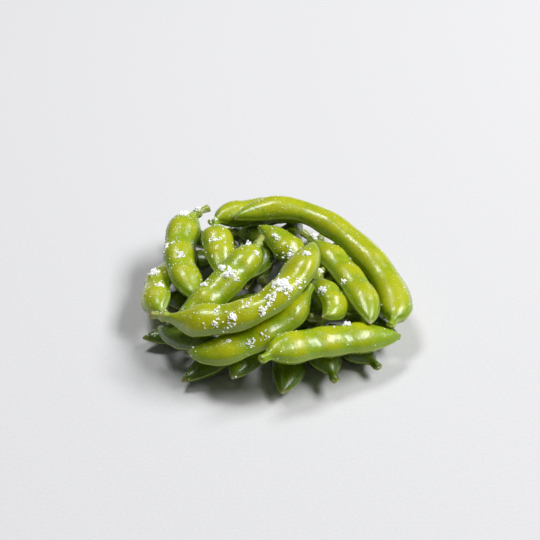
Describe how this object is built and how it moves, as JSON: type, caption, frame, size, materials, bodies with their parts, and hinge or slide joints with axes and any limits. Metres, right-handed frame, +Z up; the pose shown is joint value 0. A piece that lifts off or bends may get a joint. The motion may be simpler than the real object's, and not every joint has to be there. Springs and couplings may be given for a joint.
{
  "type": "edamame pod bundle",
  "caption": "Loose heap of whole green soybean pods, most with a cut stem and calyx, all with a pointed tip, lying on each other on a flat surface as served in the pod.",
  "frame": {"origin": "centre of the heap's bounding box seen from above, on the surface it lies on", "axes": "+Z up from the resting surface, +Y from the front of the heap to its back, +X to the right seen from the front"},
  "size_m": [0.0996, 0.1112, 0.0385],
  "materials": {
    "pod_skin_fresh": "moist waxy pod skin, yellow-green over the beans and darker along the seams",
    "pod_skin_deep": "moist waxy pod skin, the deeper green of the pods lower in the heap"
  },
  "bodies": {
    "root": {"back_left": "pod_skin_fresh", "back_long": "pod_skin_fresh", "base_back": "pod_skin_deep", "base_back_edge": "pod_skin_deep", "base_back_gap": "pod_skin_deep", "base_back_inner": "pod_skin_deep", "base_back_left": "pod_skin_deep", "base_back_right": "pod_skin_deep", "base_back_rim": "pod_skin_deep", "base_centre": "pod_skin_deep", "base_front": "pod_skin_deep", "base_front_left": "pod_skin_deep", "base_front_middle": "pod_skin_deep", "base_front_right": "pod_skin_deep", "base_left": "pod_skin_deep", "base_left_back": "pod_skin_deep", "base_left_front": "pod_skin_deep", "base_left_gap": "pod_skin_deep", "base_left_inner": "pod_skin_deep", "base_right": "pod_skin_deep", "base_right_back": "pod_skin_deep", "base_right_edge": "pod_skin_deep", "base_right_front": "pod_skin_deep", "base_right_low": "pod_skin_deep", "behind_centre": "pod_skin_fresh", "far_left": "pod_skin_fresh", "front_left": "pod_skin_fresh", "front_long": "pod_skin_fresh", "front_right": "pod_skin_fresh", "left_centre": "pod_skin_fresh", "left_hook": "pod_skin_fresh", "low_back": "pod_skin_deep", "low_front": "pod_skin_deep", "low_left": "pod_skin_deep", "low_middle": "pod_skin_deep", "right_centre": "pod_skin_fresh", "right_inner": "pod_skin_fresh", "upper_centre": "pod_skin_fresh", "upright_left": "pod_skin_fresh"}
  },
  "joints": []
}
